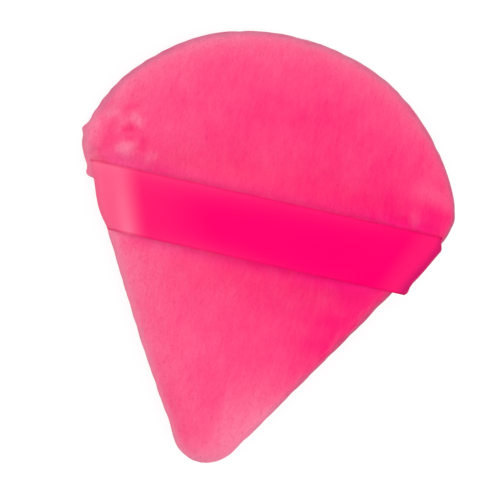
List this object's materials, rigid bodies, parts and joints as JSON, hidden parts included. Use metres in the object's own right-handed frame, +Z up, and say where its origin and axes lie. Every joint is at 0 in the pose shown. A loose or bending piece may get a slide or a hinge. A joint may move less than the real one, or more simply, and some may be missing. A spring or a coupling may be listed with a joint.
{
  "type": "powder puff",
  "caption": "Flat rounded-triangle powder puff: velour covers sewn over a sponge, with a satin ribbon finger strap across the top.",
  "frame": {"origin": "on the resting face, under the middle of the puff's length and width", "axes": "+Z up through the pad to the ribbon, +Y from the tip to the round edge, +X along the ribbon"},
  "size_m": [0.0708, 0.0796, 0.0193],
  "materials": {
    "velour": "short-pile pink velour, matt with a soft sheen at grazing angles",
    "sponge": "off-white fine-pored foam, matt",
    "ribbon": "deep pink satin ribbon with woven selvedges, soft gloss",
    "thread": "pink polyester sewing thread"
  },
  "bodies": {
    "pad": {"upper_cover": "velour", "lower_cover": "velour", "sponge_core": "sponge", "seam_needle_thread": "thread", "seam_bobbin_thread": "thread", "closing_thread": "thread"},
    "strap": {"strap": "ribbon"}
  },
  "joints": [
    {"name": "strap_lift", "type": "slide", "parent": "pad", "child": "strap", "axis": [0, 0, 1], "range_m": [-0.005, 0.0025], "stiffness_N_per_m": 20, "deforming": ["strap"]}
  ]
}
